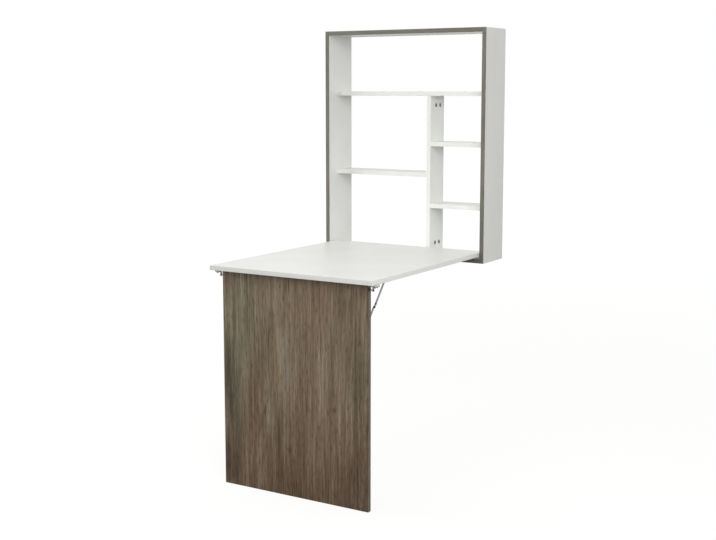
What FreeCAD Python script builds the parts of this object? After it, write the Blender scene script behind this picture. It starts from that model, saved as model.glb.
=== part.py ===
"""Fold down wall desk: a shallow open cabinet on the wall whose front drops to make a desk.

Millimetres. X runs to the right, Y into the wall and Z up. The origin is on the wall, at the
middle of the cabinet's back. The desk is drawn open, with its leg panel standing on the floor.
"""
import os
import re

import FreeCAD
import Part
import Sketcher

# Driving dimensions. Every name is an alias in the sheet, and every value is in millimetres.
SIZES = {
    # Boards
    "board": "16",
    "cab_width": "670",
    "cab_height": "836",
    "cab_depth": "162",
    "edging": "1",
    "top_bay": "208",
    "end_bay": "168",
    "right_bay": "231",
    "shelf_clear": "10",
    # Desktop and leg panel
    "desk_height": "752",
    "desk_lift": "7",
    "side_gap": "3",
    "head_clear": "9",
    "pivot_inset": "10",
    "leg_inset": "32",
    "leg_setback": "29",
    "leg_drop": "20",
    "leg_recess": "1",
    "leg_over": "16",
    # Clearances and the length by which cuts overrun
    "slip": "0.1",
    "running": "0.05",
    "overrun": "1",
    # Cam locks, their bolts and the dowels
    "cam_dia": "15",
    "cam_deep": "12.5",
    "cam_reach": "34",
    "cam_mouth": "8",
    "cam_slot_wide": "2",
    "cam_slot_long": "9",
    "cam_slot_deep": "2.5",
    "bolt_dia": "6",
    "bolt_neck": "4",
    "bolt_head": "3",
    "bolt_entry": "6",
    "bolt_thread_dia": "5",
    "bolt_thread": "11",
    "dowel_dia": "8",
    "dowel_face": "10",
    "dowel_end": "20",
    "dowel_edge": "1",
    "rear_fix": "31.5",
    "fix_pitch": "32",
    "panel_fix": "38",
    # Keyhole hanger plates
    "hang_wide": "12",
    "hang_tall": "64",
    "hang_metal": "2",
    "hang_inset": "90",
    "key_entry": "9",
    "key_slot": "4.6",
    "key_run": "11",
    "key_room": "11",
    "hang_pitch": "52",
    # Magnet catches and strike discs
    "catch_dia": "10",
    "catch_lip": "13",
    "catch_lip_thick": "1.5",
    "catch_in": "14",
    "catch_gap": "0.6",
    "catch_inset": "15",
    "strike_dia": "14",
    "strike_deep": "1.5",
    # Desktop pivots
    "desk_pin_dia": "8",
    "desk_pin_in": "25",
    "desk_bush_dia": "11",
    "desk_bush_deep": "10",
    "desk_bush_flange": "15",
    "desk_bush_lip": "2",
    # Leg pivots
    "lug_gap": "11",
    "lug_metal": "3",
    "lug_wide": "24",
    "lug_root": "8",
    "lug_foot": "18",
    "lug_round": "4.5",
    "lug_pitch": "14",
    "lug_packing": "5.5",
    "lug_screw_length": "20",
    "leg_pin_dia": "5",
    "leg_pin_in": "24",
    "leg_pin_head": "7.5",
    "leg_pin_head_thick": "1.6",
    "leg_bush_dia": "8",
    "leg_bush_flange": "11",
    "leg_bush_lip": "1.5",
    # Inner radius where a bracket's lug is bent off its foot
    "bend_round": "0.8",
    # Folding stays
    "stay_reach": "155",
    "stay_inset": "34",
    "link_wide": "8",
    "link_metal": "2",
    "link_gap": "0.3",
    "stay_metal": "2",
    "stay_wide": "28",
    "stay_foot": "15",
    "stay_round": "4.5",
    "stay_pitch": "18",
    "rivet_dia": "4",
    "rivet_head": "6",
    "rivet_head_thick": "1.2",
    # Wood screws
    "screw_dia": "3.5",
    "screw_head": "6.6",
    "screw_head_thick": "2",
    "screw_length": "12",
    "screw_point": "3",
    "screw_recess": "2.2",
    "screw_recess_deep": "1.2",
}

# Places worked out from the driving dimensions.
PLACES = {
    "half_width": "cab_width/2",
    "half_height": "cab_height/2",
    "inner_half": "half_width - board",
    "inner_top": "half_height - board",
    "inner_bottom": "-half_height + board",
    "panel_depth": "cab_depth - edging",
    "pivot_depth": "cab_depth - leg_recess - leg_drop - board",
    "shelf_depth": "pivot_depth - board/2 - shelf_clear",
    "pivot_level": "inner_bottom + desk_lift + board/2",
    "desk_half": "inner_half - side_gap",
    "desk_length": "inner_top - head_clear - pivot_level + pivot_inset",
    "desk_back": "-pivot_depth + pivot_inset",
    "desk_front": "desk_back - desk_length",
    "desk_under": "pivot_level - board/2",
    "desk_face": "pivot_level + board/2",
    "floor_level": "desk_face - desk_height",
    "leg_half": "desk_half - leg_inset",
    "leg_front": "desk_front + leg_setback",
    "leg_back": "leg_front + board",
    "leg_mid": "leg_front + board/2",
    "leg_pivot": "desk_under - leg_drop",
    "leg_top": "leg_pivot + leg_over",
    "top_shelf_under": "inner_top - top_bay - board",
    "divider_right": "inner_half - right_bay",
    "divider_left": "divider_right - board",
    "left_shelf_under": "(inner_bottom + top_shelf_under - board)/2",
    "low_shelf_under": "inner_bottom + end_bay",
    "high_shelf_under": "top_shelf_under - end_bay - board",
    "catch_place": "inner_half - catch_inset",
    "catch_level": "top_shelf_under + board/2",
    "strike_place": "-pivot_depth - (catch_level - pivot_level)",
    "hang_level": "half_height - hang_inset",
    "hang_place": "half_width - board/2",
    "head_cone": "(screw_head - screw_dia)/2",
    # The stays' pivots lie halfway across the slot between the shut leg and the desktop.
    "stay_offset": "(leg_drop - board/2)/2",
    "stay_plane": "leg_half - stay_inset",
    "desk_eye_y": "leg_mid + stay_reach",
    "desk_eye_z": "desk_under - stay_offset",
    "leg_eye_y": "leg_back + stay_offset",
    "leg_eye_z": "leg_pivot - stay_reach",
    "knuckle_y": "(desk_eye_y + leg_eye_y)/2",
    "knuckle_z": "(desk_eye_z + leg_eye_z)/2",
    "upper_link_x": "stay_plane + link_gap/2",
    "lower_link_x": "stay_plane - link_gap/2 - link_metal",
    "desk_stay_x": "upper_link_x + link_metal + link_gap",
    "leg_stay_x": "lower_link_x - link_gap",
    "lug_x": "leg_half + lug_gap",
}

WORD = re.compile(r"[a-z_]+")
Vector = FreeCAD.Vector
RIGHT = Vector(1, 0, 0)
INWARD = Vector(0, 1, 0)
UP = Vector(0, 0, 1)

doc = FreeCAD.newDocument("fold_down_wall_desk")
sheet = doc.addObject("Spreadsheet::Sheet", "sizes")
for row, (alias, amount) in enumerate(SIZES.items(), start=1):
    sheet.set(f"A{row}", alias)
    sheet.set(f"B{row}", amount)
    sheet.setAlias(f"B{row}", alias)
doc.recompute()


# Helpers that tie objects to the sheet

def bound(text):
    """Write an expression of the sheet out of the plain names in text."""
    def swap(match):
        word = match.group()
        if word in PLACES:
            return f"({bound(PLACES[word])})"
        return f"sizes.{word}"
    return WORD.sub(swap, text)


def turned_to(along, upward=None):
    """Rotation that takes local X to along and local Z to upward."""
    if upward is None:
        upward = UP if abs(along.z) < abs(along.x) + abs(along.y) else RIGHT
    return FreeCAD.Rotation(along, upward.cross(along), upward, "XZY")


def place(obj, x, y, z, rotation=None):
    """Bind an object's place to the sheet, and turn it."""
    obj.Placement = FreeCAD.Placement(Vector(), rotation or FreeCAD.Rotation())
    for axis, text in (("x", x), ("y", y), ("z", z)):
        obj.setExpression(f"Placement.Base.{axis}", bound(text))
    return obj


def box(label, x, y, z, length, width, height):
    """Board-like block from its lowest corner."""
    obj = doc.addObject("Part::Box", label)
    for name, text in (("Length", length), ("Width", width), ("Height", height)):
        obj.setExpression(name, bound(text))
    return place(obj, x, y, z)


def rod(label, x, y, z, radius, length, along):
    """Cylinder that starts at a point and runs along a direction."""
    obj = doc.addObject("Part::Cylinder", label)
    obj.setExpression("Radius", bound(radius))
    obj.setExpression("Height", bound(length))
    side = RIGHT if abs(along.x) < 1 else INWARD
    return place(obj, x, y, z, FreeCAD.Rotation(side, along.cross(side), along, "ZXY"))


def cut(label, base, tools):
    """Base with all the tools taken out of it."""
    bores = doc.addObject("Part::Compound", f"{label}_bores")
    bores.Links = tools
    obj = doc.addObject("Part::Cut", label)
    obj.Base = base
    obj.Tool = bores
    return obj


def group(label, pieces):
    """Like pieces gathered in one node, each still a solid of its own."""
    obj = doc.addObject("Part::Compound", label)
    obj.Links = pieces
    return obj


def copy_of(master, label, x, y, z, rotation=None):
    """Another of a master piece, in its own place."""
    obj = doc.addObject("App::Link", label)
    obj.LinkedObject = master
    return place(obj, x, y, z, rotation)


def mirrored(label, source):
    """The left hand piece that mirrors a right hand one."""
    obj = doc.addObject("Part::Mirroring", label)
    obj.Source = source
    obj.Normal = RIGHT
    return obj


def new_body(label):
    """Empty body, with its three planes by role."""
    body = doc.addObject("PartDesign::Body", label)
    planes = {feature.Role: feature for feature in body.Origin.OriginFeatures}
    return body, planes


def sketch_on(body, plane, label):
    """Sketch flat on one of the body's own planes."""
    sketch = body.newObject("Sketcher::SketchObject", label)
    sketch.AttachmentSupport = [(plane, "")]
    sketch.MapMode = "FlatFace"
    return sketch


def value(text):
    """Present value of an expression of the sheet, to start the sketch solver from."""
    return float(sheet.evalExpression(bound(text).replace("sizes.", "")))


def point(sketch, geometry, end, across, along):
    """Tie a sketch point to the sketch's origin by two expressions."""
    for kind, text in (("DistanceX", across), ("DistanceY", along)):
        start = value(text)
        number = sketch.addConstraint(Sketcher.Constraint(kind, -1, 1, geometry, end, start))
        sketch.setExpression(f"Constraints[{number}]", bound(text))


def radius(sketch, geometry, text):
    """Tie an arc's or circle's radius to the sheet."""
    number = sketch.addConstraint(Sketcher.Constraint("Radius", geometry, value(text)))
    sketch.setExpression(f"Constraints[{number}]", bound(text))


def spot(across, along):
    """Starting place of a sketch point."""
    return Vector(value(across), value(along), 0)


def outline(sketch, corners):
    """Closed straight outline through corners, each tied to the sheet."""
    first = sketch.GeometryCount
    total = len(corners)
    for step, corner in enumerate(corners):
        following = corners[(step + 1) % total]
        sketch.addGeometry(Part.LineSegment(spot(*corner), spot(*following)))
    for step, corner in enumerate(corners):
        before = first + (step - 1) % total
        sketch.addConstraint(Sketcher.Constraint("Coincident", before, 2, first + step, 1))
        point(sketch, first + step, 1, *corner)


def circle(sketch, across, along, size):
    """Round hole in a sketch."""
    number = sketch.addGeometry(Part.Circle(spot(across, along), UP, value(size)))
    point(sketch, number, 3, across, along)
    radius(sketch, number, size)


def slot(sketch, first_end, second_end, size):
    """Straight strip with round ends about two points of the sketch."""
    a, b = spot(*first_end), spot(*second_end)
    lead = (b - a).normalize() * value(size)
    side = UP.cross(lead)
    lines = [Part.LineSegment(a - side, b - side), Part.LineSegment(b + side, a + side)]
    arcs = [Part.Arc(b - side, b + lead, b + side), Part.Arc(a + side, a - lead, a - side)]
    low, far, high, near = [sketch.addGeometry(g) for g in (lines[0], arcs[0], lines[1], arcs[1])]
    for before, after in ((low, far), (far, high), (high, near), (near, low)):
        sketch.addConstraint(Sketcher.Constraint("Tangent", before, 2, after, 1))
    point(sketch, near, 3, *first_end)
    point(sketch, far, 3, *second_end)
    radius(sketch, far, size)


def pad(body, sketch, length, downward=False):
    """Raise a sketch to a thickness, up from its plane or down."""
    feature = body.newObject("PartDesign::Pad", f"{sketch.Label}_pad")
    feature.Profile = sketch
    feature.setExpression("Length", bound(length))
    feature.Reversed = downward
    return feature


def turned(label, profile):
    """Piece turned about local X from a profile of places along it and radii."""
    body, planes = new_body(label)
    sketch = sketch_on(body, planes["XY_Plane"], f"{label}_profile")
    outline(sketch, profile)
    feature = body.newObject("PartDesign::Revolution", f"{label}_turning")
    feature.Profile = sketch
    feature.ReferenceAxis = (sketch, ["H_Axis"])
    feature.Angle = 360
    return body


# Masters of the repeated fittings

def cam_lock():
    """Cam disc whose face is in the local XY plane and whose mouth opens to local -X."""
    disc = rod("cam_disc", "0", "0", "-cam_deep", "cam_dia/2", "cam_deep", UP)
    mouth = rod("cam_mouth_bore", "-cam_dia", "0", "-board/2", "cam_mouth/2", "cam_dia", RIGHT)
    across = box("cam_slot_across", "-cam_slot_long/2", "-cam_slot_wide/2", "-cam_slot_deep",
                 "cam_slot_long", "cam_slot_wide", "cam_slot_deep + overrun")
    upright = box("cam_slot_upright", "-cam_slot_wide/2", "-cam_slot_long/2", "-cam_slot_deep",
                  "cam_slot_wide", "cam_slot_long", "cam_slot_deep + overrun")
    return cut("cam_lock_master", disc, [mouth, across, upright])


def cam_bolt():
    """Bolt that screws into a board's face at local X 0 and reaches into a cam's mouth."""
    tip = "(cam_reach - cam_dia/2 + bolt_entry)"
    return turned("cam_bolt_master", [
        ("-bolt_thread", "0"),
        ("-bolt_thread", "bolt_thread_dia/2"),
        ("0", "bolt_thread_dia/2"),
        ("0", "bolt_dia/2"),
        (f"{tip} - 2*bolt_head", "bolt_dia/2"),
        (f"{tip} - 2*bolt_head", "bolt_neck/2"),
        (f"{tip} - bolt_head", "bolt_neck/2"),
        (f"{tip} - bolt_head", "bolt_dia/2"),
        (tip, "bolt_dia/2"),
        (tip, "0"),
    ])


def dowel():
    """Wooden dowel with bevelled ends, across the joint at local X 0."""
    return turned("dowel_master", [
        ("-dowel_face", "0"),
        ("-dowel_face", "dowel_dia/2 - dowel_edge"),
        ("-dowel_face + dowel_edge", "dowel_dia/2"),
        ("dowel_end - dowel_edge", "dowel_dia/2"),
        ("dowel_end", "dowel_dia/2 - dowel_edge"),
        ("dowel_end", "0"),
    ])


def wood_screw(label, length):
    """Pan head wood screw that goes in along local X, its head standing below X 0."""
    return turned(label, [
        ("-screw_head_thick + screw_recess_deep", "0"),
        ("-screw_head_thick + screw_recess_deep", "screw_recess/2"),
        ("-screw_head_thick", "screw_recess/2"),
        ("-screw_head_thick", "screw_head/2 - screw_head_thick/2"),
        ("-screw_head_thick/2", "screw_head/2"),
        ("0", "screw_head/2"),
        ("0", "screw_dia/2"),
        (f"{length} - screw_point", "screw_dia/2"),
        (length, "0"),
    ])


def flush_screw():
    """Countersunk wood screw that goes in along local X, its head flush at X 0."""
    return turned("flush_screw_master", [
        ("screw_recess_deep", "0"),
        ("screw_recess_deep", "screw_recess/2"),
        ("0", "screw_recess/2"),
        ("0", "screw_head/2"),
        ("head_cone", "screw_dia/2"),
        ("screw_length - screw_point", "screw_dia/2"),
        ("screw_length", "0"),
    ])


CAM = cam_lock()
BOLT = cam_bolt()
DOWEL = dowel()
SCREW = wood_screw("wood_screw_master", "screw_length")
LUG_SCREW = wood_screw("lug_screw_master", "lug_screw_length")
FLUSH_SCREW = flush_screw()

# What each board has taken out of it, and the fittings as they are placed
bores = {}
cams = {"panel": [], "shelf": [], "divider": []}
bolts = {"panel": [], "shelf": [], "divider": []}
dowels = []


def bore(board_name, x, y, z, size, length, along):
    """Note a round hole in a board."""
    holes = bores.setdefault(board_name, [])
    label = f"{board_name}_bore_{len(holes) + 1}"
    holes.append(rod(label, x, y, z, size, length, along))


def stepped(start, along, distance):
    """Point some way along an axis direction from a start, as expressions."""
    names = []
    for text, share in zip(start, along):
        names.append(text if share == 0 else f"({text}) + ({int(share)})*({distance})")
    return names


def fix_with_cam(kind, board_name, face_name, joint, along, normal):
    """Draw a board's end to another's face with a cam and its bolt.

    The joint is the point on the face at the middle of the end's thickness, along points from
    the face into the board, and normal points out of the face that the cam shows in.
    """
    number = len(cams[kind]) + 1
    seat = stepped(stepped(joint, along, "cam_reach"), normal, "board/2")
    cams[kind].append(copy_of(CAM, f"{kind}_cam_{number}", *seat, turned_to(along, normal)))
    bolts[kind].append(copy_of(BOLT, f"{kind}_bolt_{number}", *joint, turned_to(along)))
    outside = stepped(seat, normal, "overrun")
    bore(board_name, *outside, "cam_dia/2 + slip", "cam_deep + slip + overrun", -normal)
    mouth = stepped(joint, along, "-overrun")
    bore(board_name, *mouth, "bolt_dia/2 + slip", "cam_reach + overrun", along)
    lip = stepped(joint, along, "overrun")
    bore(face_name, *lip, "bolt_thread_dia/2 + slip", "bolt_thread + slip + overrun", -along)


def fix_with_dowel(board_name, face_name, joint, along):
    """Line a board's end up on another's face with a dowel."""
    dowels.append(copy_of(DOWEL, f"dowel_{len(dowels) + 1}", *joint, turned_to(along)))
    for name, sign, deep in ((board_name, 1, "dowel_end"), (face_name, -1, "dowel_face")):
        mouth = stepped(joint, along * sign, "-overrun")
        bore(name, *mouth, "dowel_dia/2 + slip", f"{deep} + slip + overrun", along * sign)


def fix_end(kind, board_name, face_name, x, z, along, normal, cam_places, dowel_places):
    """Fix one end of a board with cams and dowels at places along its depth."""
    for depth in cam_places:
        fix_with_cam(kind, board_name, face_name, (x, f"-({depth})", z), along, normal)
    for depth in dowel_places:
        fix_with_dowel(board_name, face_name, (x, f"-({depth})", z), along)


# Fixings of the boards
PANEL_CAMS = ["panel_fix", "panel_depth - panel_fix"]
PANEL_DOWELS = ["panel_depth/2"]
PAIR_CAMS = ["rear_fix", "rear_fix + fix_pitch"]
PAIR_DOWELS = ["(rear_fix + fix_pitch + shelf_depth)/2"]
SHELF_CAMS = ["rear_fix"]
SHELF_DOWELS = ["shelf_depth - rear_fix"]

for board_name, middle, normal in (("top_panel", "inner_top + board/2", UP),
                                   ("bottom_panel", "inner_bottom - board/2", -UP)):
    fix_end("panel", board_name, "left_side_panel", "-(inner_half)", middle, RIGHT, normal,
            PANEL_CAMS, PANEL_DOWELS)
    fix_end("panel", board_name, "right_side_panel", "inner_half", middle, -RIGHT, normal,
            PANEL_CAMS, PANEL_DOWELS)

fix_end("shelf", "top_shelf", "left_side_panel", "-(inner_half)", "top_shelf_under + board/2",
        RIGHT, -UP, PAIR_CAMS, PAIR_DOWELS)
fix_end("shelf", "top_shelf", "right_side_panel", "inner_half", "top_shelf_under + board/2",
        -RIGHT, -UP, PAIR_CAMS, PAIR_DOWELS)
fix_end("divider", "divider", "bottom_panel", "divider_right - board/2", "inner_bottom",
        UP, RIGHT, PAIR_CAMS, PAIR_DOWELS)
fix_end("divider", "divider", "top_shelf", "divider_right - board/2", "top_shelf_under",
        -UP, RIGHT, PAIR_CAMS, PAIR_DOWELS)

SHELF_ENDS = {
    "left_shelf": ("left_shelf_under", ("left_side_panel", "-(inner_half)"), ("divider", "divider_left")),
    "lower_right_shelf": ("low_shelf_under", ("divider", "divider_right"),
                          ("right_side_panel", "inner_half")),
    "upper_right_shelf": ("high_shelf_under", ("divider", "divider_right"),
                          ("right_side_panel", "inner_half")),
}
for board_name, (under, left_end, right_end) in SHELF_ENDS.items():
    for (face_name, x), along in ((left_end, RIGHT), (right_end, -RIGHT)):
        fix_end("shelf", board_name, face_name, x, f"{under} + board/2", along, -UP,
                SHELF_CAMS, SHELF_DOWELS)

# Bores for the pivots of the desktop and of the leg
for side, sign in (("left", "-1"), ("right", "1")):
    out = RIGHT * int(sign)
    bore(f"{side}_side_panel", f"{sign}*(inner_half - overrun)", "-pivot_depth", "pivot_level",
         "desk_bush_dia/2 + slip", "desk_bush_deep + slip + overrun", out)
    bore("desktop_panel", f"{sign}*(desk_half + overrun)", "-pivot_depth", "pivot_level",
         "desk_pin_dia/2 + slip", "desk_pin_in + slip + overrun", -out)
    bore("leg_panel", f"{sign}*(leg_half + overrun)", "leg_mid", "leg_pivot",
         "leg_bush_dia/2 + slip", "leg_pin_in + slip + overrun", -out)
    bore("top_shelf", f"{sign}*(catch_place)", "-shelf_depth - overrun", "catch_level",
         "catch_dia/2 + slip", "catch_in + slip + overrun", INWARD)
    bore("desktop_panel", f"{sign}*(catch_place)", "strike_place", "desk_face + overrun",
         "strike_dia/2 + slip", "strike_deep + overrun", -UP)


# Hanger plates let into the back edges of the sides

def hanger_plate():
    """Upright plate with a keyhole and two countersinks, its back face in the local XZ plane."""
    body, planes = new_body("hanger_blank")
    sketch = sketch_on(body, planes["XZ_Plane"], "hanger_outline")
    slot(sketch, ("0", "-hang_tall/2 + hang_wide/2"), ("0", "hang_tall/2 - hang_wide/2"), "hang_wide/2")
    pad(body, sketch, "hang_metal")
    keyhole = sketch_on(body, planes["XZ_Plane"], "hanger_keyhole")
    slot(keyhole, ("0", "0"), ("0", "key_run"), "key_slot/2")
    entry = sketch_on(body, planes["XZ_Plane"], "hanger_entry")
    circle(entry, "0", "0", "key_entry/2")
    for opening in (keyhole, entry):
        pocket = body.newObject("PartDesign::Pocket", f"{opening.Label}_cut")
        pocket.Profile = opening
        pocket.Type = "ThroughAll"
        pocket.Midplane = True
    sinks = []
    for end, level in (("upper", "hang_pitch/2"), ("lower", "-hang_pitch/2")):
        sink = turned(f"hanger_{end}_sink", [
            ("-overrun", "0"),
            ("-overrun", "screw_head/2 + slip"),
            ("0", "screw_head/2 + slip"),
            ("head_cone", "screw_dia/2 + slip"),
            ("hang_metal + overrun", "screw_dia/2 + slip"),
            ("hang_metal + overrun", "0"),
        ])
        sinks.append(place(sink, "0", "0", level, turned_to(-INWARD)))
    return cut("hanger_plate_master", body, sinks)


screws = {"hanger": [], "lug": [], "desk_stay": [], "leg_stay": []}


def screw_in(kind, board_name, x, y, z, seat, along, screw=SCREW, length="screw_length"):
    """Drive a screw into a board through fittings that are seat thick together."""
    number = len(screws[kind]) + 1
    head = stepped((x, y, z), along, f"-({seat})")
    screws[kind].append(copy_of(screw, f"{kind}_screw_{number}", *head, turned_to(along)))
    mouth = stepped((x, y, z), along, "-overrun")
    bore(board_name, *mouth, "screw_dia/2 + slip", f"{length} - ({seat}) + slip + overrun", along)


PLATE = hanger_plate()
plates = []
for side, across in (("left", "-1"), ("right", "1")):
    board_name = f"{side}_side_panel"
    for end, upward in (("upper", "1"), ("lower", "-1")):
        x, z = f"{across}*(hang_place)", f"{upward}*(hang_level)"
        plates.append(copy_of(PLATE, f"{side}_{end}_hanger", x, "0", z))
        reach = "hang_tall/2 - hang_wide/2"
        recess = bores.setdefault(board_name, [])
        label = f"{side}_{end}_hanger"
        recess.append(box(f"{label}_seat", f"{x} - hang_wide/2 - slip", "-hang_metal", f"{z} - ({reach})",
                          "hang_wide + 2*slip", "hang_metal + overrun", f"2*({reach})"))
        recess.append(box(f"{label}_room", f"{x} - key_entry/2", "-hang_metal - key_room",
                          f"{z} - key_entry/2", "key_entry", "key_room + overrun", "key_run + key_entry"))
        for turn in ("-1", "1"):
            bore(board_name, x, "overrun", f"{z} + {turn}*({reach})", "hang_wide/2 + slip",
                 "hang_metal + overrun", -INWARD)
            seat_z = f"{z} + {turn}*hang_pitch/2"
            screw_in("hanger", board_name, x, "-hang_metal", seat_z, "hang_metal", -INWARD, FLUSH_SCREW)


# Leg pivot bracket and stay brackets: a lug that carries a pivot, bent off a screwed foot

def lug_bracket(label, wide, root, drop, round_size, metal, foot, pin_hole, pitch):
    """Bracket under a surface in the local XY plane: the lug hangs down, the foot runs to +X.

    The foot is wide along Y, and the lug is as wide as root where it leaves the foot.
    """
    body, planes = new_body(label)
    lug = sketch_on(body, planes["YZ_Plane"], f"{label}_lug")
    low = spot("0", f"-({drop})")
    size = value(round_size)
    half = value(f"{root}/2")
    lug.addGeometry(Part.LineSegment(Vector(-half, 0, 0), Vector(half, 0, 0)))
    lug.addGeometry(Part.LineSegment(Vector(half, 0, 0), low + RIGHT * size))
    lug.addGeometry(Part.Arc(low - RIGHT * size, low - INWARD * size, low + RIGHT * size))
    lug.addGeometry(Part.LineSegment(low - RIGHT * size, Vector(-half, 0, 0)))
    lug.addConstraint(Sketcher.Constraint("Coincident", 0, 2, 1, 1))
    lug.addConstraint(Sketcher.Constraint("Tangent", 1, 2, 2, 2))
    lug.addConstraint(Sketcher.Constraint("Tangent", 2, 1, 3, 1))
    lug.addConstraint(Sketcher.Constraint("Coincident", 3, 2, 0, 1))
    point(lug, 0, 1, f"-{root}/2", "0")
    point(lug, 0, 2, f"{root}/2", "0")
    point(lug, 2, 3, "0", f"-({drop})")
    radius(lug, 2, round_size)
    circle(lug, "0", f"-({drop})", pin_hole)
    pad(body, lug, metal)
    sole = sketch_on(body, planes["XY_Plane"], f"{label}_foot")
    outline(sole, [("0", f"-{wide}/2"), (foot, f"-{wide}/2"), (foot, f"{wide}/2"), ("0", f"{wide}/2")])
    for sign in ("-1", "1"):
        circle(sole, f"({metal} + {foot})/2", f"{sign}*{pitch}/2", "screw_dia/2 + slip")
    pad(body, sole, metal, downward=True)
    doc.recompute()
    flat = body.Tip
    bend = body.newObject("PartDesign::Fillet", f"{label}_bend")
    bend.Base = (flat, inner_bend(flat.Shape, value(metal)))
    bend.setExpression("Radius", bound("bend_round"))
    return body


def inner_bend(shape, metal):
    """Name of the edge in the corner between a bracket's lug and its foot."""
    corner = Vector(metal, 0, -metal)
    names = []
    for number, edge in enumerate(shape.Edges, start=1):
        middle = edge.CenterOfMass
        across = Vector(middle.x, 0, middle.z) - corner
        if across.Length < metal / 100 and abs(edge.Vertexes[0].Y - edge.Vertexes[-1].Y) > metal:
            names.append(f"Edge{number}")
    return names


def pivot_bracket():
    """Right hand bracket that carries the leg's pivot pin, under its packing."""
    body = lug_bracket("right_leg_bracket", "lug_wide", "lug_root", "leg_drop - lug_packing",
                       "lug_round", "lug_metal", "lug_foot", "leg_pin_dia/2", "lug_pitch")
    return place(body, "lug_x", "leg_mid", "desk_under - lug_packing")


def bracket_packing():
    """Block between the desktop and the right hand leg bracket, bored for its screws."""
    blank = box("right_leg_packing_blank", "lug_x", "leg_mid - lug_wide/2", "desk_under - lug_packing",
                "lug_foot", "lug_wide", "lug_packing")
    holes = [rod(f"right_leg_packing_hole_{number}", "lug_x + (lug_metal + lug_foot)/2",
                 f"leg_mid + {turn}*lug_pitch/2", "desk_under - lug_packing - overrun",
                 "screw_dia/2 + slip", "lug_packing + 2*overrun", UP)
             for number, turn in enumerate(("-1", "1"), start=1)]
    return cut("right_leg_packing", blank, holes)


def desk_stay_bracket():
    """Right hand bracket under the desktop that carries the upper link."""
    body = lug_bracket("right_desk_stay_bracket", "stay_wide", "stay_wide", "stay_offset",
                       "stay_round", "stay_metal", "stay_foot", "rivet_dia/2", "stay_pitch")
    return place(body, "desk_stay_x", "desk_eye_y", "desk_under")


def leg_stay_bracket():
    """Right hand bracket on the leg's back that carries the lower link, its foot to the left."""
    body = lug_bracket("right_leg_stay_bracket", "stay_wide", "stay_wide", "stay_offset",
                       "stay_round", "stay_metal", "stay_foot", "rivet_dia/2", "stay_pitch")
    return place(body, "leg_stay_x", "leg_back", "leg_eye_z", turned_to(-RIGHT, -INWARD))


right_leg_bracket = pivot_bracket()
right_desk_stay_bracket = desk_stay_bracket()
right_leg_stay_bracket = leg_stay_bracket()

for sign in ("-1", "1"):
    for turn in ("-1", "1"):
        screw_in("lug", "desktop_panel", f"{sign}*(lug_x + (lug_metal + lug_foot)/2)",
                 f"leg_mid + {turn}*lug_pitch/2", "desk_under", "lug_packing + lug_metal", UP,
                 LUG_SCREW, "lug_screw_length")
        screw_in("desk_stay", "desktop_panel", f"{sign}*(desk_stay_x + (stay_metal + stay_foot)/2)",
                 f"desk_eye_y + {turn}*stay_pitch/2", "desk_under", "stay_metal", UP)
        screw_in("leg_stay", "leg_panel", f"{sign}*(leg_stay_x - (stay_metal + stay_foot)/2)",
                 "leg_back", f"leg_eye_z + {turn}*stay_pitch/2", "stay_metal", -INWARD)


# Boards

def board_with_bores(label, x, y, z, length, width, height):
    """Board with every hole that has been noted for it."""
    blank = box(f"{label}_blank", x, y, z, length, width, height)
    return cut(label, blank, bores[label])


boards = {
    "left_side_panel": ("-half_width", "-panel_depth", "-half_height",
                        "board", "panel_depth", "cab_height"),
    "right_side_panel": ("inner_half", "-panel_depth", "-half_height",
                         "board", "panel_depth", "cab_height"),
    "top_panel": ("-(inner_half)", "-panel_depth", "inner_top",
                  "2*inner_half", "panel_depth", "board"),
    "bottom_panel": ("-(inner_half)", "-panel_depth", "-half_height",
                     "2*inner_half", "panel_depth", "board"),
    "top_shelf": ("-(inner_half)", "-shelf_depth", "top_shelf_under",
                  "2*inner_half", "shelf_depth", "board"),
    "divider": ("divider_left", "-shelf_depth", "inner_bottom",
                "board", "shelf_depth", "top_shelf_under - inner_bottom"),
    "left_shelf": ("-(inner_half)", "-shelf_depth", "left_shelf_under",
                   "divider_left + inner_half", "shelf_depth", "board"),
    "lower_right_shelf": ("divider_right", "-shelf_depth", "low_shelf_under",
                          "right_bay", "shelf_depth", "board"),
    "upper_right_shelf": ("divider_right", "-shelf_depth", "high_shelf_under",
                          "right_bay", "shelf_depth", "board"),
    "desktop_panel": ("-(desk_half)", "desk_front", "desk_under",
                      "2*desk_half", "desk_length", "board"),
    "leg_panel": ("-(leg_half)", "leg_front", "floor_level",
                  "2*leg_half", "board", "leg_top - floor_level"),
}
nodes = [board_with_bores(label, *sizes) for label, sizes in boards.items()]

edgings = {
    "left_front_edging": ("-half_width", "-half_height", "board", "cab_height"),
    "right_front_edging": ("inner_half", "-half_height", "board", "cab_height"),
    "top_front_edging": ("-(inner_half)", "inner_top", "2*inner_half", "board"),
    "bottom_front_edging": ("-(inner_half)", "-half_height", "2*inner_half", "board"),
}
for label, (x, z, length, height) in edgings.items():
    nodes.append(box(label, x, "-cab_depth", z, length, "edging", height))

# Fittings of the cabinet
for kind in cams:
    nodes.append(group(f"{kind}_cam_locks", cams[kind]))
    nodes.append(group(f"{kind}_cam_bolts", bolts[kind]))
nodes.append(group("dowels", dowels))
nodes.append(group("hanger_plates", plates))
nodes.append(group("hanger_screws", screws["hanger"]))


# Pieces on the right hand, and the left hand ones that mirror them

def pair(label, right_piece):
    """A right hand piece and its mirror image, together in one node."""
    left_piece = mirrored(f"{label}_left", right_piece)
    return group(label, [left_piece, right_piece])


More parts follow.
